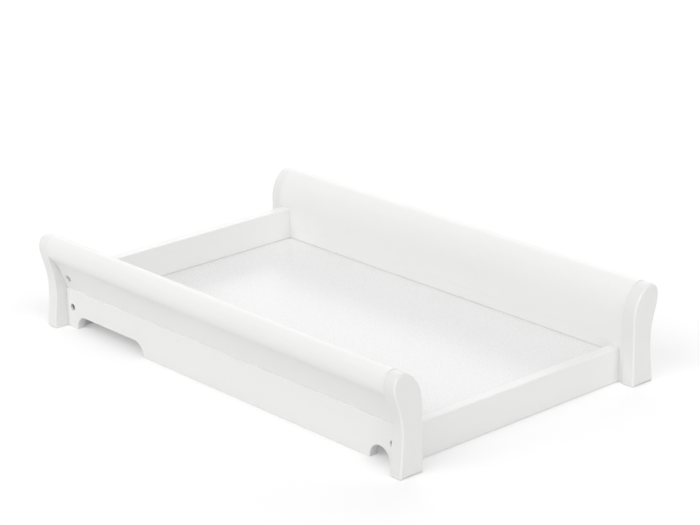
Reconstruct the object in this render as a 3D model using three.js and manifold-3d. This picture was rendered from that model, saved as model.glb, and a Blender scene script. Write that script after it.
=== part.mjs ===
// Cot-top changing tray: scrolled side walls on corner posts, a low and a tall end rail and a base board.
// Millimetres, +Z up. X runs along the tray, with the tall head rail at -X and the low foot rail at +X.
// The origin is in the middle of the tray at floor level.

import * as THREE from 'three';
import * as BufferGeometryUtils from 'three/addons/utils/BufferGeometryUtils.js';
import Module from 'manifold-3d';

const wasm = await Module();
wasm.setup();

// ---------------------------------------------------------------- driving dimensions

const LENGTH = 850;              // over the corner posts
const POST_THICKNESS = 23;       // post, along X
const POST_EDGE = 2;             // rounded edge round the post's faces
const FIT_GAP = 0.3;             // clearance between touching pieces

const WALL_INNER_Y = 222;        // inner face of the side walls
const APRON_THICKNESS = 15;
const APRON_TOP = 66;            // seam between apron and side panel
const APRON_EDGE = 1.2;          // softened edges of the apron
const APRON_LEDGE = 2.2;         // how far the apron stands proud of the panel above it
const FLOOR_CLEARANCE = 0.4;     // aprons and rails hang just clear of the floor

// The roll's inner face, top and furthest reach. The posts are sawn a little apart from the moulded panel.
const FOOT_POST_ROLL = { inner: 218, top: 158.5, out: 271.4 };
const HEAD_POST_ROLL = { inner: 221.2, top: 157.4, out: 270.4 };
const PANEL_ROLL = { inner: WALL_INNER_Y, top: 159.4, out: 269.8 };
const SCROLL_MID = 139;          // height of the furthest reach
const CROWN_Y = 254;             // where the roll is level on top
const LEAN_START = 105;          // inner face is upright below this height
const FOOT_OUT = 262;            // outer edge of the flared foot
const WAIST_OUT = 256.9;         // narrowest part of the post
const WAIST_HEIGHT = 66;
const FOOT_RADIUS = 3.2;         // more than the rounded edge, so that the edge can follow it

const RAIL_THICKNESS = 18.5;
const RAIL_EDGE = 2.5;           // rounded top edges of the rails
const HEAD_RAIL_X = -387;        // middle of the tall rail
const HEAD_RAIL_TOP = 100;
const FOOT_RAIL_X = 382.7;       // middle of the low rail
const FOOT_RAIL_TOP = 56.9;

const BASE_TOP = 46.2;
const BASE_THICKNESS = 5;
const GROOVE_DEPTH = 5;          // the base board slides into grooves all round
const GROOVE_PLAY = 0.5;         // above the board, and past its edges

const WIDE_NOTCH = { from: -374.5, to: -199, top: 23.5, headRadius: 20, footRadius: 22 };
const ARCH_NOTCH = { middle: 354.5, radius: 21, spring: 3.4 };

const BOLT_DIAMETER = 6;
const BOLT_LENGTH = 40;          // under the head
const BOLT_HEAD_DIAMETER = 9.6;
const BOLT_HEAD_HEIGHT = 6;
const HEX_ACROSS_CORNERS = 4.6;
const HEX_DEPTH = 3;
const BOLT_SEAT_Y = 227.5;       // the head bears here, at the bottom of its counterbore
const COUNTERBORE_DIAMETER = 11.6;
const SHANK_BORE_DIAMETER = 6.8;
const BORE_LENGTH = 60;          // of the drilling tools, long enough to leave the wall
const LOWER_BOLT_HEIGHT = 35;
const UPPER_BOLT_HEIGHT = 86;

const NUT_DIAMETER = 10;
const NUT_LENGTH = 14;
const NUT_INSET = 28;            // from the rail's end to the middle of the nut

const DOWEL_DIAMETER = 8;
const DOWEL_LENGTH = 30;
const DOWEL_CHAMFER = 1;
const DOWEL_CLEARANCE = 0.35;    // all round, and past each end
const DOWEL_IN_POST = 12;        // the rest of a post dowel is in the wall
const DOWEL_IN_APRON = 10;       // the rest of a rail dowel is in the rail
const RAIL_DOWEL_HEIGHT = 14;
const SEAM_DOWEL_Y = 228.6;
const SEAM_DOWELS_X = [-270, 0, 270];
const POST_DOWELS = [
  { name: 'lower', y: 229, z: 53, joins: 'apron' },
  { name: 'middle', y: 235, z: 106, joins: 'panel' },
  { name: 'upper', y: 248, z: 138, joins: 'panel' },
];

const CURVE_STEPS = 9;           // straight steps in each curved stretch of an outline
const ROUND_SIDES = 14;          // sides of bolts, nuts, dowels and their bores

// ---------------------------------------------------------------- derived dimensions

const WALL_END_X = LENGTH / 2 - POST_THICKNESS - FIT_GAP;
const RAIL_HALF_LENGTH = WALL_INNER_Y - FIT_GAP;
const GROOVE_TOP = BASE_TOP + GROOVE_PLAY;
const GROOVE_BOTTOM = BASE_TOP - BASE_THICKNESS - FIT_GAP;
const RAILS = {
  head: { x: HEAD_RAIL_X, top: HEAD_RAIL_TOP, inward: 1 },
  foot: { x: FOOT_RAIL_X, top: FOOT_RAIL_TOP, inward: -1 },
};
const SIDES = { left: -1, right: 1 };
const BOLTS = [
  { name: 'head_lower', rail: RAILS.head, z: LOWER_BOLT_HEIGHT, nutSide: 1 },
  { name: 'head_upper', rail: RAILS.head, z: UPPER_BOLT_HEIGHT, nutSide: -1 },
  { name: 'foot', rail: RAILS.foot, z: LOWER_BOLT_HEIGHT, nutSide: -1 },
];

// ---------------------------------------------------------------- materials

function paintedWood() {
  return new THREE.MeshStandardMaterial({ color: 0xf1f1ee, roughness: 0.42, metalness: 0 });
}

function paintedBoard() {
  return new THREE.MeshStandardMaterial({ color: 0xf3f3f2, roughness: 0.35, metalness: 0 });
}

function zincSteel() {
  return new THREE.MeshStandardMaterial({ color: 0x8d8c88, roughness: 0.35, metalness: 1 });
}

function bareBeech() {
  return new THREE.MeshStandardMaterial({ color: 0xcfa878, roughness: 0.7, metalness: 0 });
}

// ---------------------------------------------------------------- solids

function toSolid(geometry) {
  const bare = geometry.clone();
  bare.deleteAttribute('normal');
  bare.deleteAttribute('uv');
  const merged = BufferGeometryUtils.mergeVertices(bare, 1e-4);
  const vertProperties = new Float32Array(merged.attributes.position.array);
  const triVerts = new Uint32Array(merged.index.array);
  return new wasm.Manifold(new wasm.Mesh({ numProp: 3, vertProperties, triVerts }));
}

function toGeometry(solid) {
  const mesh = solid.getMesh();
  const geometry = new THREE.BufferGeometry();
  geometry.setAttribute('position', new THREE.BufferAttribute(mesh.vertProperties, 3));
  geometry.setIndex(new THREE.BufferAttribute(mesh.triVerts, 1));
  return geometry.toNonIndexed();
}

function cut(geometry, tools) {
  let solid = toSolid(geometry);
  for (const tool of tools) {
    solid = solid.subtract(toSolid(tool));
  }
  const result = toGeometry(solid);
  result.computeVertexNormals();
  return result;
}

// A cylinder along 'x', 'y' or 'z' whose middle is at the given point.
function rod(axis, diameter, length, x, y, z) {
  const geometry = new THREE.CylinderGeometry(diameter / 2, diameter / 2, length, ROUND_SIDES);
  if (axis === 'x') {
    geometry.rotateZ(Math.PI / 2);
  }
  if (axis === 'z') {
    geometry.rotateX(Math.PI / 2);
  }
  return geometry.translate(x, y, z);
}

// An outline drawn in (Y outwards, Z up), made solid between two places along X on the given side.
function alongX(shape, side, fromX, toX, edge) {
  const geometry = new THREE.ExtrudeGeometry(shape, {
    depth: toX - fromX - 2 * edge,
    bevelEnabled: edge > 0,
    bevelThickness: edge,
    bevelSize: edge,
    bevelOffset: -edge,
    bevelSegments: 2,
    curveSegments: CURVE_STEPS,
  });
  geometry.translate(0, 0, edge);
  const axes = new THREE.Matrix4().makeBasis(
    new THREE.Vector3(0, 1, 0), new THREE.Vector3(0, 0, 1), new THREE.Vector3(1, 0, 0));
  geometry.applyMatrix4(axes).translate(fromX, 0, 0);
  if (side > 0) {
    return geometry;
  }
  return geometry.rotateZ(Math.PI).translate(fromX + toX, 0, 0);
}

// ---------------------------------------------------------------- outlines

// From the roll's furthest reach, over its top and down the leaning inner face.
function drawRoll(shape, roll) {
  const { inner, top, out } = roll;
  shape.bezierCurveTo(out, SCROLL_MID + 12, CROWN_Y + 10, top, CROWN_Y, top);
  shape.bezierCurveTo(CROWN_Y - 16, top, inner, LEAN_START + 31, inner, LEAN_START);
}

function postOutline(roll) {
  const { inner, out } = roll;
  const shape = new THREE.Shape();
  shape.moveTo(inner + FOOT_RADIUS, 0);
  shape.lineTo(FOOT_OUT - FOOT_RADIUS, 0);
  shape.quadraticCurveTo(FOOT_OUT, 0, FOOT_OUT - 0.1, FOOT_RADIUS);
  shape.bezierCurveTo(FOOT_OUT - 1, 20, WAIST_OUT, 42, WAIST_OUT, WAIST_HEIGHT);
  shape.bezierCurveTo(WAIST_OUT, 104, out, 118, out, SCROLL_MID);
  drawRoll(shape, roll);
  shape.lineTo(inner, FOOT_RADIUS);
  shape.quadraticCurveTo(inner, 0, inner + FOOT_RADIUS, 0);
  return shape;
}

function panelOutline() {
  const { inner, out } = PANEL_ROLL;
  const bottom = APRON_TOP + FIT_GAP;
  const start = WALL_INNER_Y + APRON_THICKNESS - APRON_LEDGE;
  const shape = new THREE.Shape();
  shape.moveTo(inner, bottom);
  shape.lineTo(start, bottom);
  shape.bezierCurveTo(start + 5, 84, 251.5, 109.5, 262, 119.5);
  shape.bezierCurveTo(266.3, 123.6, out, 129, out, SCROLL_MID);
  drawRoll(shape, PANEL_ROLL);
  shape.lineTo(inner, bottom);
  return shape;
}

// Seen from the side, in (X, Z): straight top, and the two cot-rail notches in the bottom edge.
function apronOutline() {
  const bottom = FLOOR_CLEARANCE;
  const wide = WIDE_NOTCH;
  const arch = ARCH_NOTCH;
  const headSpring = wide.top - wide.headRadius;
  const footSpring = wide.top - wide.footRadius;
  const quarter = Math.PI / 2;
  const shape = new THREE.Shape();
  shape.moveTo(-WALL_END_X, APRON_TOP);
  shape.lineTo(-WALL_END_X, bottom);
  shape.lineTo(wide.from, bottom);
  shape.lineTo(wide.from, headSpring);
  shape.absarc(wide.from + wide.headRadius, headSpring, wide.headRadius, 2 * quarter, quarter, true);
  shape.lineTo(wide.to - wide.footRadius, wide.top);
  shape.absarc(wide.to - wide.footRadius, footSpring, wide.footRadius, quarter, 0, true);
  shape.lineTo(wide.to, bottom);
  shape.lineTo(arch.middle - arch.radius, bottom);
  shape.lineTo(arch.middle - arch.radius, arch.spring);
  shape.absarc(arch.middle, arch.spring, arch.radius, 2 * quarter, 0, true);
  shape.lineTo(arch.middle + arch.radius, bottom);
  shape.lineTo(WALL_END_X, bottom);
  shape.lineTo(WALL_END_X, APRON_TOP);
  shape.lineTo(-WALL_END_X, APRON_TOP);
  return shape;
}

// Seen from the end of the rail, in (X, Z), with the groove for the base board on its inner side.
function railOutline(rail) {
  const inner = rail.x + rail.inward * RAIL_THICKNESS / 2;
  const outer = rail.x - rail.inward * RAIL_THICKNESS / 2;
  const step = rail.inward * RAIL_EDGE;
  const grooveEnd = inner - rail.inward * GROOVE_DEPTH;
  const shape = new THREE.Shape();
  shape.moveTo(outer, FLOOR_CLEARANCE);
  shape.lineTo(inner, FLOOR_CLEARANCE);
  shape.lineTo(inner, GROOVE_BOTTOM);
  shape.lineTo(grooveEnd, GROOVE_BOTTOM);
  shape.lineTo(grooveEnd, GROOVE_TOP);
  shape.lineTo(inner, GROOVE_TOP);
  shape.lineTo(inner, rail.top - RAIL_EDGE);
  shape.quadraticCurveTo(inner, rail.top, inner - step, rail.top);
  shape.lineTo(outer + step, rail.top);
  shape.quadraticCurveTo(outer, rail.top, outer, rail.top - RAIL_EDGE);
  shape.lineTo(outer, FLOOR_CLEARANCE);
  return shape;
}

// ---------------------------------------------------------------- bores

// A dowel's bore goes a little past the dowel at both ends; each piece is cut by the stretch inside it.
function dowelBore(axis, x, y, z) {
  const diameter = DOWEL_DIAMETER + 2 * DOWEL_CLEARANCE;
  return rod(axis, diameter, DOWEL_LENGTH + 2 * DOWEL_CLEARANCE, x, y, z);
}

// The middle of a post dowel along X, at the end that endSign points to.
function postDowelX(endSign) {
  return endSign * (LENGTH / 2 - POST_THICKNESS + DOWEL_IN_POST - DOWEL_LENGTH / 2);
}

function railDowelY(side) {
  return side * (WALL_INNER_Y + DOWEL_IN_APRON - DOWEL_LENGTH / 2);
}

function railDowelBore(side, rail) {
  return dowelBore('y', rail.x, railDowelY(side), RAIL_DOWEL_HEIGHT);
}

// The bores of a post's dowels, or only of those that join it to the 'apron' or the 'panel'.
function postDowelBores(side, endSign, joins) {
  const bores = [];
  for (const dowel of POST_DOWELS) {
    if (!joins || dowel.joins === joins) {
      bores.push(dowelBore('x', postDowelX(endSign), side * dowel.y, dowel.z));
    }
  }
  return bores;
}

function seamDowelBores(side) {
  return SEAM_DOWELS_X.map((x) => dowelBore('z', x, side * SEAM_DOWEL_Y, APRON_TOP));
}

// Round the bolt's head, from its seat out through the wall.
function counterbore(side, bolt) {
  const middle = side * (BOLT_SEAT_Y + BORE_LENGTH / 2);
  return rod('y', COUNTERBORE_DIAMETER, BORE_LENGTH, bolt.rail.x, middle, bolt.z);
}

// Round the bolt's shank, from a little past its tip out through the wall.
function shankBore(side, bolt) {
  const past = 2;
  const middle = side * (BOLT_SEAT_Y - BOLT_LENGTH - past + BORE_LENGTH / 2);
  return rod('y', SHANK_BORE_DIAMETER, BORE_LENGTH, bolt.rail.x, middle, bolt.z);
}

function nutY(side) {
  return side * (RAIL_HALF_LENGTH - NUT_INSET);
}

// The nut's blind hole is drilled from the rail face that is out of sight.
function nutBore(side, bolt) {
  const diameter = NUT_DIAMETER + 2 * DOWEL_CLEARANCE;
  const depth = NUT_LENGTH + FIT_GAP;
  const mouth = bolt.rail.x + bolt.nutSide * RAIL_THICKNESS / 2;
  return rod('x', diameter, 2 * depth, mouth, nutY(side), bolt.z);
}

function sideGroove(side) {
  const from = HEAD_RAIL_X;
  const to = FOOT_RAIL_X;
  const box = new THREE.BoxGeometry(to - from, 2 * GROOVE_DEPTH, GROOVE_TOP - GROOVE_BOTTOM);
  return box.translate((from + to) / 2, side * WALL_INNER_Y, (GROOVE_TOP + GROOVE_BOTTOM) / 2);
}

// ---------------------------------------------------------------- pieces

function postGeometry(side, endSign) {
  const inner = endSign * (LENGTH / 2 - POST_THICKNESS);
  const outer = endSign * LENGTH / 2;
  const outline = postOutline(endSign > 0 ? FOOT_POST_ROLL : HEAD_POST_ROLL);
  const blank = alongX(outline, side, Math.min(inner, outer), Math.max(inner, outer), POST_EDGE);
  return cut(blank, postDowelBores(side, endSign));
}

function panelGeometry(side) {
  const blank = alongX(panelOutline(), side, -WALL_END_X, WALL_END_X, 0);
  const upperBolt = BOLTS.find((bolt) => bolt.z === UPPER_BOLT_HEIGHT);
  return cut(blank, [
    ...postDowelBores(side, -1, 'panel'),
    ...postDowelBores(side, 1, 'panel'),
    ...seamDowelBores(side),
    counterbore(side, upperBolt),
    shankBore(side, upperBolt),
  ]);
}

function apronGeometry(side) {
  const blank = new THREE.ExtrudeGeometry(apronOutline(), {
    depth: APRON_THICKNESS - 2 * APRON_EDGE,
    bevelThickness: APRON_EDGE,
    bevelSize: APRON_EDGE,
    bevelOffset: -APRON_EDGE,
    bevelSegments: 2,
    curveSegments: CURVE_STEPS,
  });
  blank.rotateX(Math.PI / 2);
  blank.translate(0, side * (WALL_INNER_Y + APRON_THICKNESS / 2) + APRON_THICKNESS / 2 - APRON_EDGE, 0);
  const lowerBolts = BOLTS.filter((bolt) => bolt.z === LOWER_BOLT_HEIGHT);
  return cut(blank, [
    sideGroove(side),
    ...postDowelBores(side, -1, 'apron'),
    ...postDowelBores(side, 1, 'apron'),
    ...seamDowelBores(side),
    ...lowerBolts.map((bolt) => counterbore(side, bolt)),
    ...lowerBolts.map((bolt) => shankBore(side, bolt)),
    ...Object.values(RAILS).map((rail) => railDowelBore(side, rail)),
  ]);
}

function railGeometry(rail) {
  const blank = new THREE.ExtrudeGeometry(railOutline(rail), {
    depth: 2 * RAIL_HALF_LENGTH,
    bevelEnabled: false,
    curveSegments: 4,
  });
  blank.rotateX(Math.PI / 2).translate(0, RAIL_HALF_LENGTH, 0);
  const tools = [];
  for (const side of Object.values(SIDES)) {
    tools.push(railDowelBore(side, rail));
    for (const bolt of BOLTS.filter((candidate) => candidate.rail === rail)) {
      tools.push(shankBore(side, bolt), nutBore(side, bolt));
    }
  }
  return cut(blank, tools);
}

function baseBoardGeometry() {
  const reach = GROOVE_DEPTH - GROOVE_PLAY;
  const headEdge = HEAD_RAIL_X + RAIL_THICKNESS / 2 - reach;
  const footEdge = FOOT_RAIL_X - RAIL_THICKNESS / 2 + reach;
  const board = new THREE.BoxGeometry(footEdge - headEdge, 2 * (WALL_INNER_Y + reach), BASE_THICKNESS);
  return board.translate((headEdge + footEdge) / 2, 0, BASE_TOP - BASE_THICKNESS / 2);
}

// Its axis is Y, with the underside of the head at the origin and the shank towards -Y.
function boltGeometry() {
  const shank = BOLT_DIAMETER / 2;
  const head = BOLT_HEAD_DIAMETER / 2;
  const chamfer = 0.6;
  const profile = [
    new THREE.Vector2(0, -BOLT_LENGTH),
    new THREE.Vector2(shank - chamfer, -BOLT_LENGTH),
    new THREE.Vector2(shank, -BOLT_LENGTH + chamfer),
    new THREE.Vector2(shank, 0),
    new THREE.Vector2(head, 0),
    new THREE.Vector2(head, BOLT_HEAD_HEIGHT - chamfer),
    new THREE.Vector2(head - chamfer, BOLT_HEAD_HEIGHT),
    new THREE.Vector2(0, BOLT_HEAD_HEIGHT),
  ];
  const socketRadius = HEX_ACROSS_CORNERS / 2;
  const socket = new THREE.CylinderGeometry(socketRadius, socketRadius, 2 * HEX_DEPTH, 6);
  socket.translate(0, BOLT_HEAD_HEIGHT, 0);
  return cut(new THREE.LatheGeometry(profile, ROUND_SIDES), [socket]);
}

// The nut ends flush with the rail's face, so its cross bore is off its middle by this much.
function nutBoreOffset(nutSide) {
  return -nutSide * (RAIL_THICKNESS / 2 - NUT_LENGTH / 2);
}

// A cross dowel with its axis along X, bored for the bolt and slotted at the end that a driver turns.
function nutGeometry(nutSide) {
  const slot = new THREE.BoxGeometry(2, 2 * NUT_DIAMETER, 1.4);
  slot.translate(nutSide * NUT_LENGTH / 2, 0, 0);
  const bore = rod('y', BOLT_DIAMETER + 2 * FIT_GAP, 2 * NUT_DIAMETER, nutBoreOffset(nutSide), 0, 0);
  return cut(rod('x', NUT_DIAMETER, NUT_LENGTH, 0, 0, 0), [bore, slot]);
}

// A dowel along the given axis with chamfered ends.
function dowelGeometry(axis) {
  const radius = DOWEL_DIAMETER / 2;
  const half = DOWEL_LENGTH / 2;
  const profile = [
    new THREE.Vector2(0, -half),
    new THREE.Vector2(radius - DOWEL_CHAMFER, -half),
    new THREE.Vector2(radius, -half + DOWEL_CHAMFER),
    new THREE.Vector2(radius, half - DOWEL_CHAMFER),
    new THREE.Vector2(radius - DOWEL_CHAMFER, half),
    new THREE.Vector2(0, half),
  ];
  const geometry = new THREE.LatheGeometry(profile, ROUND_SIDES);
  if (axis === 'x') {
    geometry.rotateZ(Math.PI / 2);
  }
  if (axis === 'z') {
    geometry.rotateX(Math.PI / 2);
  }
  return geometry;
}

// ---------------------------------------------------------------- assembly

const tray = new THREE.Group();

function addPiece(name, geometry, material, x = 0, y = 0, z = 0) {
  const mesh = new THREE.Mesh(geometry, material);
  mesh.name = name;
  mesh.position.set(x, y, z);
  tray.add(mesh);
  return mesh;
}

for (const [sideName, side] of Object.entries(SIDES)) {
  for (const [endName, endSign] of [['head', -1], ['foot', 1]]) {
    addPiece(`${sideName}_${endName}_post`, postGeometry(side, endSign), paintedWood());
    for (const dowel of POST_DOWELS) {
      const name = `dowel_${sideName}_${endName}_post_${dowel.name}`;
      addPiece(name, dowelGeometry('x'), bareBeech(), postDowelX(endSign), side * dowel.y, dowel.z);
    }
    const railX = RAILS[endName].x;
    const name = `dowel_${sideName}_${endName}_rail`;
    addPiece(name, dowelGeometry('y'), bareBeech(), railX, railDowelY(side), RAIL_DOWEL_HEIGHT);
  }
  addPiece(`${sideName}_side_panel`, panelGeometry(side), paintedWood());
  addPiece(`${sideName}_apron`, apronGeometry(side), paintedWood());
  SEAM_DOWELS_X.forEach((x, index) => {
    const name = `dowel_${sideName}_seam_${index + 1}`;
    addPiece(name, dowelGeometry('z'), bareBeech(), x, side * SEAM_DOWEL_Y, APRON_TOP);
  });
  for (const bolt of BOLTS) {
    const headY = side * (BOLT_SEAT_Y + FIT_GAP);
    const boltName = `bolt_${sideName}_${bolt.name}`;
    const screw = addPiece(boltName, boltGeometry(), zincSteel(), bolt.rail.x, headY, bolt.z);
    screw.rotation.z = side > 0 ? 0 : Math.PI;
    const nut = nutGeometry(bolt.nutSide);
    const nutX = bolt.rail.x - nutBoreOffset(bolt.nutSide);
    addPiece(`barrel_nut_${sideName}_${bolt.name}`, nut, zincSteel(), nutX, nutY(side), bolt.z);
  }
}

addPiece('head_rail', railGeometry(RAILS.head), paintedWood());
addPiece('foot_rail', railGeometry(RAILS.foot), paintedWood());
addPiece('base_board', baseBoardGeometry(), paintedBoard());

export default tray;
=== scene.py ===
import math

import bmesh
import bpy
from mathutils import Matrix, Vector


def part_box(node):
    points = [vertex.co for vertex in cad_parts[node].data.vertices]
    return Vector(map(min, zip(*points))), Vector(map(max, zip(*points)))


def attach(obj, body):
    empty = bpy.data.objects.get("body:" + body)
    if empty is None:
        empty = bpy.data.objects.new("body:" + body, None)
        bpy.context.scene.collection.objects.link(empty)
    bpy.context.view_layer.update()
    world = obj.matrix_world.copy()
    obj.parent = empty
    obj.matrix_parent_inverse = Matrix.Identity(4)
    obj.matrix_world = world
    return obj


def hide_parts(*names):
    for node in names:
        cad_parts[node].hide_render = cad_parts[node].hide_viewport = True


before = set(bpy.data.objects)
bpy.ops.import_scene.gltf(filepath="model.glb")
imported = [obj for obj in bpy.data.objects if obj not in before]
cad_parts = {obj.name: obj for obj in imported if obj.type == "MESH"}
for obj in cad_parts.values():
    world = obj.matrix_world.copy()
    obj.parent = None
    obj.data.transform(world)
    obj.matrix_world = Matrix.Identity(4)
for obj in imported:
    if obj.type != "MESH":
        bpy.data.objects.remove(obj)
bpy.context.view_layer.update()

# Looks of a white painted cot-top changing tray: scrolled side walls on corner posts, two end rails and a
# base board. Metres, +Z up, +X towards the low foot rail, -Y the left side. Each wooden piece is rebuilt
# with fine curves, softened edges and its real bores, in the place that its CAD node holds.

MM = 0.001

# ---------------------------------------------------------------- dimensions

SIDES = {"left": -1, "right": 1}
ENDS = {"head": -1, "foot": 1}
CURVE_STEPS = 22                 # straight steps in each curved stretch of an outline
EDGE_STEPS = 5                   # steps round a softened edge

PANEL_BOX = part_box("right_side_panel")
APRON_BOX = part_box("right_apron")
BASE_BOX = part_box("base_board")

SCROLL_MID = 139 * MM            # height of the roll's furthest reach
CROWN_Y = 254 * MM               # where the roll is level on top
LEAN_START = 105 * MM            # inner face is upright below this height
FOOT_OUT = 262 * MM              # outer edge of the flared foot
WAIST_OUT = 256.9 * MM           # narrowest part of the post
WAIST_HEIGHT = 66 * MM
FOOT_RADIUS = 3.2 * MM
FOOT_TAPER = 0.1 * MM            # the foot's side leans in by this much above its rounded corner
# A pull is the handle of a cubic curve.
FOOT_PULL = (FOOT_OUT - 1 * MM, 20 * MM)
WAIST_PULLS = (42 * MM, 104 * MM)  # heights, below and above the waist
POST_SCROLL_PULL = 118 * MM      # height, below the roll's furthest reach
ROLL_PULLS = (12 * MM, 10 * MM)  # up from the furthest reach, and out from the crown
LEAN_PULLS = (16 * MM, 31 * MM)  # in from the crown, and up from where the lean starts
POST_EDGE = 3.2 * MM             # round the post's outer face
POST_JOINT_EDGE = 1.2 * MM       # round the face that meets the wall

LEDGE = 2.2 * MM                 # the apron's top stands this far proud of the panel
COVE_START_PULL = (5 * MM, 84 * MM)  # out from the ledge, and the height
COVE_END_PULL = (251.5 * MM, 109.5 * MM)
COVE_END = Vector((262, 119.5)) * MM
PANEL_ROLL_PULLS = ((266.3 * MM, 123.6 * MM), 129 * MM)  # after the cove, and the height below the roll
PANEL_SOFT = 0.3 * MM            # rounds the panel's inner bottom corner

APRON_EDGE = 1.2 * MM            # round the outer face
APRON_INNER_EDGE = 0.5 * MM
RAIL_EDGE = 2.5 * MM
RAIL_LIFT = 1.3 * MM             # leaves the shadow line under the rails
RAIL_END_EDGE = 0.15 * MM
TIGHT_EDGE = 0.12 * MM
CLOSED = 0.28 * MM               # pieces that meet stand this much nearer than their fitting gap
BOARD_EDGE = 0.5 * MM
GROOVE_DEPTH = 5 * MM
GROOVE_PLAY = 0.55 * MM          # above and below the base board
WIDE_NOTCH = {"from": -374.5 * MM, "to": -199 * MM, "top": 23.5 * MM, "head": 20 * MM, "foot": 22 * MM}
WIDE_NOTCH_END_DEG = 8           # where the foot end's arc stops, short of upright
ARCH_NOTCH = {"middle": 354.5 * MM, "radius": 21 * MM, "spring": 3.4 * MM}
NOTCH_EASE = 2 * MM              # rounds the corners where the notches meet the bottom edge

BORE_SIDES = 40
BORE_PLAY = 0.35 * MM
COUNTERBORE_RADIUS = 5.8 * MM
BOLT_RADIUS = 3 * MM
BOLT_HEAD_HEIGHT = 6 * MM
BOLT_EASE = 0.5 * MM
BOLT_SIDES = 48
HEX_RADIUS = 2.5 * MM
HEX_DEPTH = 3 * MM
NUT_EASE = 0.5 * MM
NUT_BORE_PLAY = 0.25 * MM
NUT_SLOT = (2 * MM, 1.4 * MM)    # twice its depth, and its width
DOWEL_EASE = 1 * MM
DOWEL_FLUTES = 16
FLUTE_DEPTH = 0.04               # against the dowel's radius
BORE_MOUTH_EASE = 0.5 * MM
NUT_MOUTH_EASE = 0.4 * MM
SHANK_SPARE = 2 * MM             # bore beyond the bolt's tip
BORE_PAST = 30 * MM              # a bolt's cutter reaches this far out of its seat
RAIL_BORE_MOUTH = 20 * MM        # beyond the rail's end, so the rail gets only the plain hole
PANEL_BORE_MOUTH = 14.5 * MM     # from the bolt's seat to the coved face at the bolt's height
GROOVE_SPARE = 4 * MM            # the aprons' grooves are this much longer than the base board

FLAT = 1e-7                      # an inset under this is none
SHARP_DEG = 32                   # corners sharper than this stay hard
FLAT_WEIGHT = 80                 # how far the large faces set the normals

# ---------------------------------------------------------------- outlines


def bezier(start, first, second, end, steps=CURVE_STEPS):
    """Points along a cubic curve, without its start."""
    points = []
    for i in range(1, steps + 1):
        t = i / steps
        s = 1 - t
        weights = (s ** 3, 3 * s * s * t, 3 * s * t * t, t ** 3)
        handles = (start, first, second, end)
        points.append(sum((Vector(h) * w for h, w in zip(handles, weights)), Vector((0, 0))))
    return points


def corner(start, apex, end):
    """A rounded corner, as a quadratic curve, without its start."""
    start, apex, end = Vector(start), Vector(apex), Vector(end)
    return bezier(start, start.lerp(apex, 2 / 3), end.lerp(apex, 2 / 3), end, EDGE_STEPS + 1)


def arc(middle, radius, from_deg, to_deg, steps=CURVE_STEPS):
    points = []
    for i in range(steps + 1):
        angle = math.radians(from_deg + (to_deg - from_deg) * i / steps)
        points.append(Vector(middle) + Vector((math.cos(angle), math.sin(angle))) * radius)
    return points


def roll(inner, out, top):
    """Over the rolled top and down the leaning inner face, from the roll's furthest reach."""
    crown = (CROWN_Y, top)
    up, along = ROLL_PULLS
    over = bezier((out, SCROLL_MID), (out, SCROLL_MID + up), (CROWN_Y + along, top), crown)
    back, above = LEAN_PULLS
    down = bezier(crown, (CROWN_Y - back, top), (inner, LEAN_START + above), (inner, LEAN_START))
    return over + down


def outwards(node):
    """(inner face, furthest reach, top) of a wall or post, with Y counted away from the middle."""
    low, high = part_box(node)
    return min(abs(low.y), abs(high.y)), max(abs(low.y), abs(high.y)), high.z


def post_outline(node):
    """The S-shaped post in (Y outwards, Z), counter-clockwise from its inner bottom corner."""
    inner, out, top = outwards(node)
    foot_side = (FOOT_OUT - FOOT_TAPER, FOOT_RADIUS)
    waist = (WAIST_OUT, WAIST_HEIGHT)
    below, above = WAIST_PULLS
    points = [Vector((inner + FOOT_RADIUS, 0)), Vector((FOOT_OUT - FOOT_RADIUS, 0))]
    points += corner((FOOT_OUT - FOOT_RADIUS, 0), (FOOT_OUT, 0), foot_side)
    points += bezier(foot_side, FOOT_PULL, (WAIST_OUT, below), waist)
    points += bezier(waist, (WAIST_OUT, above), (out, POST_SCROLL_PULL), (out, SCROLL_MID))
    points += roll(inner, out, top)
    points.append(Vector((inner, FOOT_RADIUS)))
    points += corner((inner, FOOT_RADIUS), (inner, 0), (inner + FOOT_RADIUS, 0))[:-1]
    return points


def panel_outline():
    """The coved panel in (Y outwards, Z), counter-clockwise from its inner bottom corner."""
    inner, out = PANEL_BOX[0].y, PANEL_BOX[1].y
    bottom, top = PANEL_BOX[0].z - CLOSED, PANEL_BOX[1].z
    start = APRON_BOX[1].y - LEDGE
    soft = PANEL_SOFT
    points = [Vector((inner + soft, bottom)), Vector((start, bottom))]
    points += bezier(points[-1], (start + COVE_START_PULL[0], COVE_START_PULL[1]), COVE_END_PULL, COVE_END)
    after_cove, below_roll = PANEL_ROLL_PULLS
    points += bezier(COVE_END, after_cove, (out, below_roll), (out, SCROLL_MID))
    points += roll(inner, out, top)
    points.append(Vector((inner, bottom + soft)))
    points += corner((inner, bottom + soft), (inner, bottom), (inner + soft, bottom))[:-1]
    return points


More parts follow.
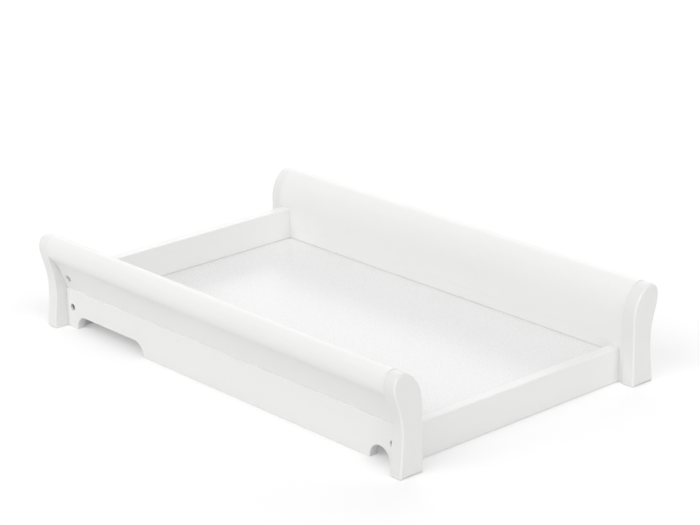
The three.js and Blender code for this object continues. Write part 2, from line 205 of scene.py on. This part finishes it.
def apron_outline():
    """The notched apron in (X, Z), counter-clockwise from its bottom corner at the head end."""
    low, high = APRON_BOX
    low = low - Vector((CLOSED, 0, 0))
    high = high + Vector((CLOSED, 0, 0))
    wide, arch, ease = WIDE_NOTCH, ARCH_NOTCH, NOTCH_EASE
    points = [Vector((low.x, low.z)), Vector((wide["from"] - ease, low.z))]
    points += corner(points[-1], (wide["from"], low.z), (wide["from"], low.z + ease))
    points += arc((wide["from"] + wide["head"], wide["top"] - wide["head"]), wide["head"], 180, 90)
    foot_middle = (wide["to"] - wide["foot"], wide["top"] - wide["foot"])
    points += arc(foot_middle, wide["foot"], 90, WIDE_NOTCH_END_DEG)
    points += corner(points[-1], (wide["to"], low.z), (wide["to"] + ease, low.z))
    arch_from, arch_to = arch["middle"] - arch["radius"], arch["middle"] + arch["radius"]
    points.append(Vector((arch_from - ease, low.z)))
    points += corner(points[-1], (arch_from, low.z), (arch_from, arch["spring"]))[:-1]
    points += arc((arch["middle"], arch["spring"]), arch["radius"], 180, 0)
    points += corner(points[-1], (arch_to, low.z), (arch_to + ease, low.z))
    points += [Vector((high.x, low.z)), Vector((high.x, high.z)), Vector((low.x, high.z))]
    return points


def rail_outline(node, inward):
    """A rail's section in (X, Z), drawn towards its inner face and then turned counter-clockwise."""
    low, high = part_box(node)
    low.z += RAIL_LIFT
    inner, outer = (high.x, low.x) if inward > 0 else (low.x, high.x)
    groove = inner - inward * GROOVE_DEPTH
    step = inward * RAIL_EDGE
    ease = inward * BOARD_EDGE
    groove_low, groove_high = BASE_BOX[0].z - GROOVE_PLAY, BASE_BOX[1].z + GROOVE_PLAY
    points = [Vector((outer + ease, low.z)), Vector((inner - ease, low.z))]
    points += corner((inner - ease, low.z), (inner, low.z), (inner, low.z + BOARD_EDGE))
    points += [Vector((inner, groove_low)), Vector((groove, groove_low))]
    points += [Vector((groove, groove_high)), Vector((inner, groove_high))]
    points.append(Vector((inner, high.z - RAIL_EDGE)))
    points += corner((inner, high.z - RAIL_EDGE), (inner, high.z), (inner - step, high.z))
    points.append(Vector((outer + step, high.z)))
    points += corner((outer + step, high.z), (outer, high.z), (outer, high.z - RAIL_EDGE))
    points.append(Vector((outer, low.z + BOARD_EDGE)))
    points += corner((outer, low.z + BOARD_EDGE), (outer, low.z), (outer + ease, low.z))[:-1]
    return points


def base_outline():
    low, high = BASE_BOX
    return [Vector(p) for p in ((low.x, low.y), (high.x, low.y), (high.x, high.y), (low.x, high.y))]


# ---------------------------------------------------------------- mesh helpers


def inset(points, distance):
    """The closed outline moved inwards by a distance, whichever way round it runs."""
    area = sum(p.x * q.y - q.x * p.y for p, q in zip(points, points[1:] + points[:1]))
    turn = 1 if area > 0 else -1
    moved = []
    for i, point in enumerate(points):
        before = (point - points[i - 1]).normalized()
        after = (points[(i + 1) % len(points)] - point).normalized()
        normals = [Vector((-d.y, d.x)) * turn for d in (before, after)]
        both = normals[0] + normals[1]
        moved.append(point + both * (distance / (1 + normals[0].dot(normals[1]))))
    return moved


def edge_rings(place, edge, way):
    """(place along the axis, inset) of the rings that round an end's edge, from the end inwards."""
    rings = []
    for i in range(EDGE_STEPS + 1):
        angle = math.pi / 2 * i / EDGE_STEPS
        rings.append((place + way * edge * (1 - math.cos(angle)), edge * (1 - math.sin(angle))))
    return rings


def slab(name, outline, low, high, low_edge, high_edge, to_space):
    """A solid between two places along an axis, with softened edges at both ends."""
    rings = edge_rings(low, low_edge, 1) + edge_rings(high, high_edge, -1)[::-1]
    mesh_builder = bmesh.new()
    loops = []
    for place, depth in rings:
        ring = inset(outline, depth) if depth > FLAT else outline
        loops.append([mesh_builder.verts.new(to_space(p, place)) for p in ring])
    count = len(outline)
    for first, second in zip(loops, loops[1:]):
        for i in range(count):
            j = (i + 1) % count
            mesh_builder.faces.new((first[i], first[j], second[j], second[i]))
    mesh_builder.faces.new(loops[0])
    mesh_builder.faces.new(loops[-1])
    bmesh.ops.recalc_face_normals(mesh_builder, faces=mesh_builder.faces)
    return to_object(name, mesh_builder)


def to_object(name, mesh_builder):
    mesh = bpy.data.meshes.new(name)
    mesh_builder.to_mesh(mesh)
    mesh_builder.free()
    made = bpy.data.objects.new(name, mesh)
    bpy.context.scene.collection.objects.link(made)
    return made


def lathe(name, profile, base, axis, sides=BORE_SIDES, shape=None):
    """Turns a profile of (place along the axis, radius) points, which starts and ends on the axis.

    shape, if given, scales the radius by the angle round the axis."""
    turn = Vector((0, 0, 1)).rotation_difference(Vector(axis)).to_matrix()
    mesh_builder = bmesh.new()
    rings = []
    for place, radius in profile:
        if radius == 0:
            rings.append([mesh_builder.verts.new(Vector(base) + turn @ Vector((0, 0, place)))])
            continue
        ring = []
        for i in range(sides):
            angle = 2 * math.pi * i / sides
            reach = radius * (shape(angle) if shape else 1)
            spot = Vector((math.cos(angle) * reach, math.sin(angle) * reach, place))
            ring.append(mesh_builder.verts.new(Vector(base) + turn @ spot))
        rings.append(ring)
    for first, second in zip(rings, rings[1:]):
        for i in range(sides):
            j = (i + 1) % sides
            around = ((first, i), (first, j), (second, j), (second, i))
            corners = [loop[k % len(loop)] for loop, k in around]
            mesh_builder.faces.new(list(dict.fromkeys(corners)))
    bmesh.ops.recalc_face_normals(mesh_builder, faces=mesh_builder.faces)
    return to_object(name, mesh_builder)


def box_cutter(centre, size):
    mesh_builder = bmesh.new()
    bmesh.ops.create_cube(mesh_builder, size=1)
    reach = Matrix.Translation(centre) @ Matrix.Diagonal((*size, 1))
    bmesh.ops.transform(mesh_builder, matrix=reach, verts=mesh_builder.verts)
    return to_object("cutter", mesh_builder)


def carve(piece, cutters):
    """Cuts each cutter out of the piece, and removes the cutters."""
    for cutter in cutters:
        modifier = piece.modifiers.new("bore", "BOOLEAN")
        modifier.operation = "DIFFERENCE"
        modifier.solver = "EXACT"
        modifier.object = cutter
    graph = bpy.context.evaluated_depsgraph_get()
    carved = bpy.data.meshes.new_from_object(piece.evaluated_get(graph))
    piece.modifiers.clear()
    old = piece.data
    piece.data = carved
    bpy.data.meshes.remove(old)
    for cutter in cutters:
        bpy.data.objects.remove(cutter)


def shade(piece):
    """Smooth curves, crisp flats."""
    for polygon in piece.data.polygons:
        polygon.use_smooth = True
    piece.data.set_sharp_from_angle(angle=math.radians(SHARP_DEG))
    weighted = piece.modifiers.new("flat_faces", "WEIGHTED_NORMAL")
    weighted.keep_sharp = True
    weighted.weight = FLAT_WEIGHT


def place(piece, node, slot, material):
    """The piece stands for its CAD node, with its own finish."""
    piece.data.materials.clear()
    piece.data.materials.append(material)
    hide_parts(node)
    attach(piece, "root")


# ---------------------------------------------------------------- bores


def middle_of(node):
    low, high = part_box(node)
    return (low + high) / 2


def long_axis(node):
    low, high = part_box(node)
    size = high - low
    return Vector([1.0 if s == max(size) else 0.0 for s in size])


def overlaps(node, low, high):
    """True where a CAD node's box reaches into the given box."""
    a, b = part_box(node)
    return all(a[i] < high[i] and b[i] > low[i] for i in range(3))


def dowel_bore(node):
    low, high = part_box(node)
    axis = long_axis(node)
    half = (high - low).dot(axis) / 2 + BORE_PLAY
    radius = min(high - low) / 2 + BORE_PLAY
    profile = ((-half, 0), (-half, radius), (half, radius), (half, 0))
    return lathe("cutter", profile, middle_of(node), axis)


def bolt_seat(node):
    """(underside of the bolt's head, direction out of the wall)."""
    low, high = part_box(node)
    side = 1 if low.y > 0 else -1
    outer = high.y if side > 0 else low.y
    seat = Vector((middle_of(node).x, outer - side * BOLT_HEAD_HEIGHT, middle_of(node).z))
    return seat, Vector((0, side, 0))


def bolt_bore(node, mouth):
    """A stepped hole whose mouth, at the given distance from the seat, is eased by a small chamfer."""
    seat, out = bolt_seat(node)
    low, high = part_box(node)
    tip = -(high.y - low.y - BOLT_HEAD_HEIGHT) - SHANK_SPARE
    ease = BORE_MOUTH_EASE
    shank = BOLT_RADIUS + BORE_PLAY
    wide = COUNTERBORE_RADIUS + 2 * ease
    profile = [(tip, 0), (tip, shank), (-BORE_PLAY, shank)]
    profile += [(-BORE_PLAY, COUNTERBORE_RADIUS), (mouth - ease, COUNTERBORE_RADIUS)]
    profile += [(mouth + ease, wide), (BORE_PAST, wide), (BORE_PAST, 0)]
    return lathe("cutter", profile, seat, out)


def nut_bore(node):
    """The nut's blind hole, open at the rail face that the nut ends flush with."""
    low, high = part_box(node)
    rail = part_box("head_rail") if low.x < 0 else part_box("foot_rail")
    out = 1 if abs(high.x - rail[1].x) < abs(low.x - rail[0].x) else -1
    mouth = high.x if out > 0 else low.x
    radius = (high.z - low.z) / 2 + BORE_PLAY
    depth = high.x - low.x + BORE_PLAY
    ease = NUT_MOUTH_EASE
    profile = ((-depth, 0), (-depth, radius), (-ease, radius), (ease, radius + 2 * ease), (ease, 0))
    return lathe("cutter", profile, (mouth, middle_of(node).y, middle_of(node).z), (out, 0, 0))


def dowel_bores(low, high):
    nodes = [n for n in sorted(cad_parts) if n.startswith("dowel_") and overlaps(n, low, high)]
    return [dowel_bore(n) for n in nodes]


def groove_cutter(side):
    """The base board's groove in an apron, which stops inside the ends of the rails."""
    low, high = BASE_BOX
    inner = APRON_BOX[0].y
    size = Vector((high.x - low.x + GROOVE_SPARE, 2 * GROOVE_DEPTH, high.z - low.z + 2 * GROOVE_PLAY))
    centre = Vector(((low.x + high.x) / 2, side * inner, (low.z + high.z) / 2))
    return box_cutter(centre, size)


# ---------------------------------------------------------------- materials


MIX_INPUTS = (0, 6, 7)           # a colour mix node's factor and its two colours
MIX_RESULT = 2

EDGE_SAMPLES = 6
EDGE_REACH = 1.6 * MM            # how far an edge's rub reaches over its faces
EDGE_TURN = 0.8                  # a full edge, as the cosine between rounded and flat normal
EDGE_GLOSS = 0.06                # taken off the roughness on an edge
PATCHES = 0.986                  # the darker patches of a painted face, against the rest
RUBBED = (0.975, 0.965, 0.94)    # tint where an edge is rubbed
SHEEN = 0.02                     # roughness varies by this much either way
PEEL = 0.3                       # depth of the orange peel, against the grain
PAINT_IOR = 1.48
SCRATCH_DEPTH = 0.006 * MM
FLECK_DEPTH = 0.05 * MM


class Nodes:
    """A few words for building the nodes of a material or world."""

    def __init__(self, owner):
        owner.use_nodes = True
        self.owner = owner
        self.tree = owner.node_tree
        self.shader = self.tree.nodes.get("Principled BSDF")

    def add(self, kind, settings=(), **inputs):
        node = self.tree.nodes.new(kind)
        for key, value in dict(settings).items():
            setattr(node, key, value)
        for key, value in inputs.items():
            self.put(node, key.replace("_", " "), value)
        return node

    def put(self, node, key, value):
        socket = node.inputs[key]
        if isinstance(value, bpy.types.NodeSocket):
            self.tree.links.new(value, socket)
        else:
            socket.default_value = value

    def noise(self, vector, scale, detail=3.0, roughness=0.5):
        node = self.add("ShaderNodeTexNoise", Vector=vector, Scale=scale, Detail=detail, Roughness=roughness)
        return node.outputs["Fac"]

    def grain(self, coordinates, grain_axis, squeeze, **noise):
        """Noise drawn out along one axis."""
        stretch = [1.0, 1.0, 1.0]
        stretch["xyz".index(grain_axis)] = squeeze
        mapping = self.add("ShaderNodeMapping", Vector=coordinates, Scale=stretch)
        return self.noise(mapping.outputs["Vector"], **noise)

    def spread(self, value, from_low, from_high, low=0.0, high=1.0, kind="LINEAR"):
        node = self.add("ShaderNodeMapRange", settings={"interpolation_type": kind}, Value=value)
        limits = {"From Min": from_low, "From Max": from_high, "To Min": low, "To Max": high}
        for key, number in limits.items():
            node.inputs[key].default_value = number
        return node.outputs["Result"]

    def sums(self, operation, first, second):
        node = self.add("ShaderNodeMath", settings={"operation": operation})
        self.put(node, 0, first)
        self.put(node, 1, second)
        return node.outputs["Value"]

    def dot(self, first, second):
        node = self.add("ShaderNodeVectorMath", settings={"operation": "DOT_PRODUCT"})
        self.put(node, 0, first)
        self.put(node, 1, second)
        return node.outputs["Value"]

    def mix(self, fac, first, second):
        node = self.add("ShaderNodeMix", settings={"data_type": "RGBA"})
        for key, value in zip(MIX_INPUTS, (fac, first, second)):
            self.put(node, key, value)
        return node.outputs[MIX_RESULT]

    def bump(self, height, distance, normal=None):
        node = self.add("ShaderNodeBump", Height=height, Distance=distance, Strength=1.0)
        if normal is not None:
            self.tree.links.new(normal, node.inputs["Normal"])
        return node.outputs["Normal"]


def edge_mask(nodes):
    """1 on edges and corners, 0 on open faces."""
    rounded = nodes.add("ShaderNodeBevel", settings={"samples": EDGE_SAMPLES}, Radius=EDGE_REACH)
    geometry = nodes.add("ShaderNodeNewGeometry")
    alike = nodes.dot(rounded.outputs["Normal"], geometry.outputs["True Normal"])
    return nodes.spread(alike, 1.0, EDGE_TURN)


def painted(name, white, grain_axis, grain_depth, roughness):
    """Sprayed satin paint: faint grain along the board, orange peel, thinner and glossier on the edges."""
    nodes = Nodes(bpy.data.materials.new(name))
    coordinates = nodes.add("ShaderNodeTexCoord").outputs["Object"]
    grain = nodes.grain(coordinates, grain_axis, 0.035, scale=420.0, detail=4.0, roughness=0.62)
    broad = nodes.noise(coordinates, scale=3.2, detail=2.0)
    peel = nodes.noise(coordinates, scale=520.0, detail=2.0)
    specks = nodes.noise(coordinates, scale=60.0, detail=4.0)
    edge = edge_mask(nodes)

    tone = nodes.mix(nodes.spread(broad, 0.3, 0.7), (*white, 1), (*(white * PATCHES), 1))
    worn = (*(w * r for w, r in zip(white, RUBBED)), 1)
    rub = nodes.sums("MULTIPLY", edge, nodes.spread(specks, 0.45, 0.7, 0.0, 0.55))
    nodes.put(nodes.shader, "Base Color", nodes.mix(rub, tone, worn))

    sheen = nodes.spread(peel, 0.25, 0.75, roughness - SHEEN, roughness + SHEEN)
    gloss = nodes.sums("MULTIPLY", edge, EDGE_GLOSS)
    nodes.put(nodes.shader, "Roughness", nodes.sums("SUBTRACT", sheen, gloss))
    surface = nodes.bump(grain, grain_depth)
    nodes.put(nodes.shader, "Normal", nodes.bump(peel, PEEL * grain_depth, surface))
    nodes.put(nodes.shader, "IOR", PAINT_IOR)
    return nodes.owner


def zinc(name):
    """Dull plated steel with fine scratches, darker where the plating is thin."""
    nodes = Nodes(bpy.data.materials.new(name))
    coordinates = nodes.add("ShaderNodeTexCoord").outputs["Object"]
    blotch = nodes.noise(coordinates, scale=900.0, detail=4.0, roughness=0.6)
    scratch = nodes.grain(coordinates, "y", 0.08, scale=2600.0)
    dark, light = (0.20, 0.195, 0.185, 1), (0.46, 0.45, 0.43, 1)
    nodes.put(nodes.shader, "Base Color", nodes.mix(nodes.spread(blotch, 0.3, 0.7), dark, light))
    nodes.put(nodes.shader, "Roughness", nodes.spread(scratch, 0.3, 0.7, 0.30, 0.50))
    nodes.put(nodes.shader, "Normal", nodes.bump(scratch, SCRATCH_DEPTH))
    nodes.put(nodes.shader, "Metallic", 1.0)
    return nodes.owner


def beech(name, grain_axis):
    """Bare beech with fine fleck along the grain."""
    nodes = Nodes(bpy.data.materials.new(name))
    coordinates = nodes.add("ShaderNodeTexCoord").outputs["Object"]
    grain = nodes.grain(coordinates, grain_axis, 0.06, scale=900.0, detail=5.0, roughness=0.65)
    pale, brown = (0.66, 0.47, 0.29, 1), (0.43, 0.27, 0.14, 1)
    nodes.put(nodes.shader, "Base Color", nodes.mix(nodes.spread(grain, 0.35, 0.75), pale, brown))
    nodes.put(nodes.shader, "Roughness", nodes.spread(grain, 0.3, 0.7, 0.6, 0.8))
    nodes.put(nodes.shader, "Normal", nodes.bump(grain, FLECK_DEPTH))
    return nodes.owner


PAINT_GRAIN = 0.006 * MM
BOARD_GRAIN = 0.0015 * MM
PAINT_ROUGHNESS = 0.34
RAIL_ROUGHNESS = 0.32
BOARD_ROUGHNESS = 0.28
# The one satin white is set lighter or darker by part to stand in for light and shade: the walls are lighter
# as painted light, the rails sit between, and the posts are darker as painted shade.
WHITE = Vector((1, 1, 0.991))
COOL_WHITE = Vector((0.998, 1, 0.999))
# The foot posts' darker white than the head posts' is painted shade.
POST_WHITES_WITH_PAINTED_SHADE = {"head": 0.845 * WHITE, "foot": 0.818 * WHITE}
POST_PAINT = {
    end: painted(f"satin_paint_{end}_posts", white, "z", PAINT_GRAIN, PAINT_ROUGHNESS)
    for end, white in POST_WHITES_WITH_PAINTED_SHADE.items()
}
WALL_PAINT = painted("satin_paint_walls", 0.878 * WHITE, "x", PAINT_GRAIN, PAINT_ROUGHNESS)
RAIL_PAINT = painted("satin_paint_rails", 0.858 * WHITE, "y", PAINT_GRAIN, RAIL_ROUGHNESS)
BOARD_PAINT = painted("lacquered_board", 0.815 * COOL_WHITE, "x", BOARD_GRAIN, BOARD_ROUGHNESS)
ZINC = zinc("zinc_steel")
BEECH = {axis: beech(f"bare_beech_{axis}", axis) for axis in "xyz"}

# ---------------------------------------------------------------- pieces


def make_post(side_name, end_name):
    node = f"{side_name}_{end_name}_post"
    side, end = SIDES[side_name], ENDS[end_name]
    low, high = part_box(node)
    low_edge, high_edge = (POST_JOINT_EDGE, POST_EDGE) if end > 0 else (POST_EDGE, POST_JOINT_EDGE)
    post = slab(f"{node}_fine", post_outline(node), low.x, high.x, low_edge, high_edge,
                lambda p, x: Vector((x, side * p.x, p.y)))
    carve(post, dowel_bores(low, high))
    shade(post)
    place(post, node, "painted_wood", POST_PAINT[end_name])


def make_panel(side_name):
    node = f"{side_name}_side_panel"
    side = SIDES[side_name]
    low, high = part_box(node)
    panel = slab(f"{node}_fine", panel_outline(), low.x - CLOSED, high.x + CLOSED, TIGHT_EDGE, TIGHT_EDGE,
                 lambda p, x: Vector((x, side * p.x, p.y)))
    bolt = f"bolt_{side_name}_head_upper"
    carve(panel, dowel_bores(low, high) + [bolt_bore(bolt, PANEL_BORE_MOUTH)])
    shade(panel)
    place(panel, node, "painted_wood", WALL_PAINT)


def make_apron(side_name):
    node = f"{side_name}_apron"
    side = SIDES[side_name]
    low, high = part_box(node)
    edges = (APRON_INNER_EDGE, APRON_EDGE) if side > 0 else (APRON_EDGE, APRON_INNER_EDGE)
    apron = slab(f"{node}_fine", apron_outline(), low.y, high.y, *edges, lambda p, y: Vector((p.x, y, p.y)))
    bores = [groove_cutter(side)] + dowel_bores(low, high)
    for end in ("head_lower", "foot"):
        bolt = f"bolt_{side_name}_{end}"
        face = (high.y if side > 0 else -low.y) - side * bolt_seat(bolt)[0].y
        bores.append(bolt_bore(bolt, face))
    carve(apron, bores)
    shade(apron)
    place(apron, node, "painted_wood", WALL_PAINT)


def make_rail(end_name):
    node = f"{end_name}_rail"
    low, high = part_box(node)
    outline = rail_outline(node, -ENDS[end_name])
    rail = slab(f"{node}_fine", outline, low.y - CLOSED, high.y + CLOSED, RAIL_END_EDGE, RAIL_END_EDGE,
                lambda p, y: Vector((p.x, y, p.y)))
    bores = dowel_bores(low, high)
    for n in sorted(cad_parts):
        if n.startswith("bolt_") and overlaps(n, low, high):
            bores.append(bolt_bore(n, RAIL_BORE_MOUTH))
        if n.startswith("barrel_nut_") and overlaps(n, low, high):
            bores.append(nut_bore(n))
    carve(rail, bores)
    shade(rail)
    place(rail, node, "painted_wood", RAIL_PAINT)


def make_base():
    low, high = BASE_BOX
    base = slab("base_board_fine", base_outline(), low.z, high.z, BOARD_EDGE, BOARD_EDGE,
                lambda p, z: Vector((p.x, p.y, z)))
    shade(base)
    place(base, "base_board", "painted_board", BOARD_PAINT)


def make_bolt(node):
    """A cap-head bolt with a hexagon socket and a plain shank."""
    seat, out = bolt_seat(node)
    low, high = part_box(node)
    length = high.y - low.y - BOLT_HEAD_HEIGHT
    head = (high.z - low.z) / 2
    ease = BOLT_EASE
    profile = [(-length, 0), (-length, BOLT_RADIUS - ease), (-length + ease, BOLT_RADIUS)]
    profile += [(-ease / 2, BOLT_RADIUS), (0, BOLT_RADIUS + ease / 2), (0, head - ease), (ease / 2, head)]
    profile += [(BOLT_HEAD_HEIGHT - ease, head), (BOLT_HEAD_HEIGHT - ease / 3, head - ease / 3)]
    profile += [(BOLT_HEAD_HEIGHT, head - ease), (BOLT_HEAD_HEIGHT, 0)]
    bolt = lathe(f"{node}_fine", profile, seat, out, BOLT_SIDES)
    floor, past = BOLT_HEAD_HEIGHT - HEX_DEPTH, BOLT_HEAD_HEIGHT + 1 * MM
    hexagon = ((floor, 0), (floor, HEX_RADIUS), (past, HEX_RADIUS), (past, 0))
    carve(bolt, [lathe("cutter", hexagon, seat, out, 6)])
    shade(bolt)
    place(bolt, node, "zinc_steel", ZINC)


def make_nut(node):
    """A cross dowel, slotted at the end that shows, with its cross bore for the bolt."""
    low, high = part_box(node)
    half, radius, ease = (high.x - low.x) / 2, (high.z - low.z) / 2, NUT_EASE
    profile = ((-half, 0), (-half, radius - ease), (-half + ease, radius))
    profile += ((half - ease, radius), (half, radius - ease), (half, 0))
    nut = lathe(f"{node}_fine", profile, middle_of(node), (1, 0, 0), BOLT_SIDES)
    bolt = node.replace("barrel_nut", "bolt")
    bore_radius = BOLT_RADIUS + NUT_BORE_PLAY
    centre = Vector((middle_of(bolt).x, middle_of(node).y, middle_of(node).z))
    bore = ((-2 * radius, 0), (-2 * radius, bore_radius), (2 * radius, bore_radius), (2 * radius, 0))
    mouth = high.x if middle_of(node).x > middle_of(bolt).x else low.x
    depth, width = NUT_SLOT
    slot = box_cutter((mouth, centre.y, centre.z), (depth, 3 * radius, width))
    carve(nut, [lathe("cutter", bore, centre, (0, 1, 0)), slot])
    shade(nut)
    place(nut, node, "zinc_steel", ZINC)


def make_dowel(node):
    """A beech dowel with chamfered ends and shallow glue flutes."""
    low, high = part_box(node)
    axis = long_axis(node)
    half, radius, ease = (high - low).dot(axis) / 2, min(high - low) / 2, DOWEL_EASE
    profile = ((-half, 0), (-half, radius - ease), (-half + ease, radius))
    profile += ((half - ease, radius), (half, radius - ease), (half, 0))
    dowel = lathe(f"{node}_fine", profile, middle_of(node), axis, 4 * DOWEL_FLUTES,
                  lambda angle: 1 - FLUTE_DEPTH * (0.5 - 0.5 * math.cos(DOWEL_FLUTES * angle)))
    shade(dowel)
    place(dowel, node, "beech_dowel", BEECH["xyz"[list(axis).index(1.0)]])


for side_name in SIDES:
    for end_name in ENDS:
        make_post(side_name, end_name)
    make_panel(side_name)
    make_apron(side_name)
for end_name in ENDS:
    make_rail(end_name)
make_base()
for node in sorted(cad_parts):
    if node.startswith("bolt_"):
        make_bolt(node)
    if node.startswith("barrel_nut_"):
        make_nut(node)
    if node.startswith("dowel_"):
        make_dowel(node)

# ---------------------------------------------------------------- floor, light and camera

FLOOR_REACH = 30.0               # metres from the middle to each side
FLOOR_DARK, FLOOR_LIGHT = (0.745, 0.745, 0.745, 1), (0.755, 0.755, 0.755, 1)
FLOOR_GLOW = 0.26                # what the floor itself adds in the picture
FLOOR_FILL = 0.105               # what it adds to the light on the tray
ROOM_STRENGTH = 0.26
BACKDROP_EXTRA = 1.16
BACKDROP_DIRECTION = (-0.7516, 0.6596, 0.0)
BACKDROP_FACING = (0.0, 0.9)     # cosines to that direction where the backdrop starts and is full
BACKDROP_FADE = (0.75, 0.35)     # heights on the unit sphere where it starts and is full

# name: degrees round from looking along +Y, degrees up, width in degrees, strength
SOFT_LIGHTS = {
    "left_softbox": (-2, 38, 44, 1.10),
    "right_softbox": (86, 36.5, 44, 0.99),
    "back_softbox": (228.7, 45, 50, 0.44),
    "front_fill": (48.7, 46, 50, 0.59),
}

CAMERA_AZIMUTH = 48.648          # degrees round from looking along +Y
CAMERA_ELEVATION = 19.466
CAMERA_ROLL = -1.204
CAMERA_LENS = 121.36
CAMERA_SENSOR = 36               # both in millimetres
CAMERA_REACH = 100
CAMERA_PLACE = Vector((2.6215, -2.2803, 1.3778))


def floor_material():
    """Plain white studio floor with the faintest mottle, glowing a little, and clear from beneath."""
    nodes = Nodes(bpy.data.materials.new("studio_floor"))
    coordinates = nodes.add("ShaderNodeTexCoord").outputs["Object"]
    mottle = nodes.noise(coordinates, scale=6.0, detail=2.0)
    seen = nodes.add("ShaderNodeLightPath").outputs["Is Camera Ray"]
    nodes.put(nodes.shader, "Base Color", nodes.mix(mottle, FLOOR_DARK, FLOOR_LIGHT))
    nodes.put(nodes.shader, "Emission Color", (1, 1, 1, 1))
    nodes.put(nodes.shader, "Emission Strength", nodes.spread(seen, 0.0, 1.0, FLOOR_FILL, FLOOR_GLOW))
    nodes.put(nodes.shader, "Roughness", 0.9)
    nodes.put(nodes.shader, "Specular IOR Level", 0.1)
    either = nodes.add("ShaderNodeMixShader")
    nodes.put(either, 0, nodes.add("ShaderNodeNewGeometry").outputs["Backfacing"])
    nodes.put(either, 1, nodes.shader.outputs["BSDF"])
    nodes.put(either, 2, nodes.add("ShaderNodeBsdfTransparent").outputs["BSDF"])
    nodes.put(nodes.tree.nodes["Material Output"], "Surface", either.outputs["Shader"])
    return nodes.owner


def make_floor():
    builder = bmesh.new()
    bmesh.ops.create_grid(builder, x_segments=4, y_segments=4, size=FLOOR_REACH)
    floor = to_object("studio_floor", builder)
    floor.data.materials.append(floor_material())


def direction(azimuth_deg, elevation_deg):
    """Unit vector towards a place seen that far round and up."""
    azimuth, elevation = math.radians(azimuth_deg), math.radians(elevation_deg)
    flat = math.cos(elevation)
    return Vector((math.sin(azimuth) * flat, -math.cos(azimuth) * flat, math.sin(elevation)))


def soft_light(name, azimuth_deg, elevation_deg, width_deg, strength):
    """A far soft light, by the direction it comes from."""
    data = bpy.data.lights.new(name, "SUN")
    data.energy = strength
    data.angle = math.radians(width_deg)
    light = bpy.data.objects.new(name, data)
    bpy.context.scene.collection.objects.link(light)
    light.rotation_mode = "QUATERNION"
    light.rotation_quaternion = direction(azimuth_deg, elevation_deg).to_track_quat("Z", "Y")


def make_world():
    """An even white room, brighter low down behind the tray where the lit backdrop stands."""
    nodes = Nodes(bpy.data.worlds.new("white_room"))
    way = nodes.add("ShaderNodeTexCoord").outputs["Generated"]
    height = nodes.add("ShaderNodeSeparateXYZ", Vector=way).outputs["Z"]
    facing = nodes.spread(nodes.dot(way, BACKDROP_DIRECTION), *BACKDROP_FACING, kind="SMOOTHSTEP")
    low = nodes.spread(height, *BACKDROP_FADE, kind="SMOOTHSTEP")
    extra = nodes.sums("MULTIPLY", nodes.sums("MULTIPLY", facing, low), BACKDROP_EXTRA)
    background = nodes.tree.nodes["Background"]
    nodes.put(background, "Color", (1, 1, 1, 1))
    nodes.put(background, "Strength", nodes.sums("ADD", extra, ROOM_STRENGTH))
    bpy.context.scene.world = nodes.owner


def make_camera():
    data = bpy.data.cameras.new("camera")
    data.sensor_width = CAMERA_SENSOR
    data.lens = CAMERA_LENS
    data.clip_end = CAMERA_REACH
    camera = bpy.data.objects.new("camera", data)
    bpy.context.scene.collection.objects.link(camera)
    azimuth, roll_turn = math.radians(CAMERA_AZIMUTH), math.radians(CAMERA_ROLL)
    back = direction(CAMERA_AZIMUTH, CAMERA_ELEVATION)
    level_right = Vector((math.cos(azimuth), math.sin(azimuth), 0))
    level_up = back.cross(level_right)
    right = level_right * math.cos(roll_turn) + level_up * math.sin(roll_turn)
    up = level_up * math.cos(roll_turn) - level_right * math.sin(roll_turn)
    turn = Matrix((right, up, back)).transposed().to_4x4()
    camera.matrix_world = Matrix.Translation(CAMERA_PLACE) @ turn
    bpy.context.scene.camera = camera


make_floor()
make_world()
for name, settings in SOFT_LIGHTS.items():
    soft_light(name, *settings)
make_camera()
bpy.context.scene.view_settings.view_transform = "Standard"
